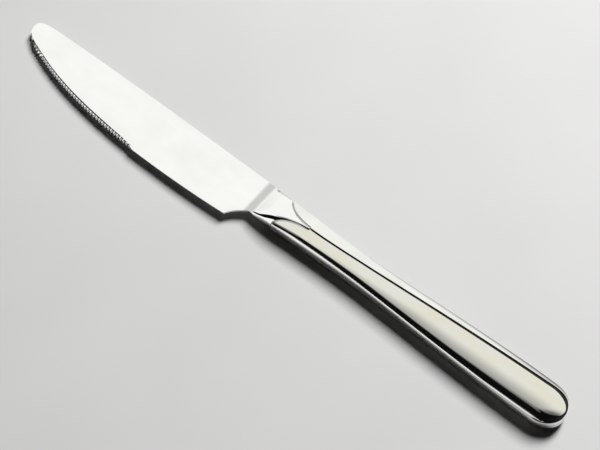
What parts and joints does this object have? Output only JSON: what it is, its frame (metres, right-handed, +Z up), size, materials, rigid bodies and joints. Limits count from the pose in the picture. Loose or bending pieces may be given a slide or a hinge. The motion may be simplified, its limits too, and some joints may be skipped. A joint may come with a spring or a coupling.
{
  "type": "table knife",
  "caption": "Stainless steel table knife with a serrated blade, a forged bolster with a pointed tongue, and a hollow handle with a raised panel.",
  "frame": {"origin": "bottom centre of the bounding box, on the surface that the knife lies on", "axes": "+X along the knife from the tip towards the butt, +Y from the cutting edge towards the spine, +Z up out of the face that lies uppermost"},
  "size_m": [0.236, 0.0206, 0.0098],
  "materials": {
    "blade_steel": "forged martensitic stainless steel, mirror-polished, with a ground serrated bevel",
    "handle_steel": "pressed stainless steel sheet, mirror-polished",
    "joint_metal": "brazed joint, sunk and left dull",
    "seam_metal": "brazed seam, polished flush with the shells",
    "handle_cement": "cast resin filler round the tang, sealed inside"
  },
  "bodies": {
    "root": {"blade": "blade_steel", "front_shell": "handle_steel", "back_shell": "handle_steel", "mouth_braze": "joint_metal", "seam_braze": "seam_metal", "tang_filler": "handle_cement"}
  },
  "joints": []
}
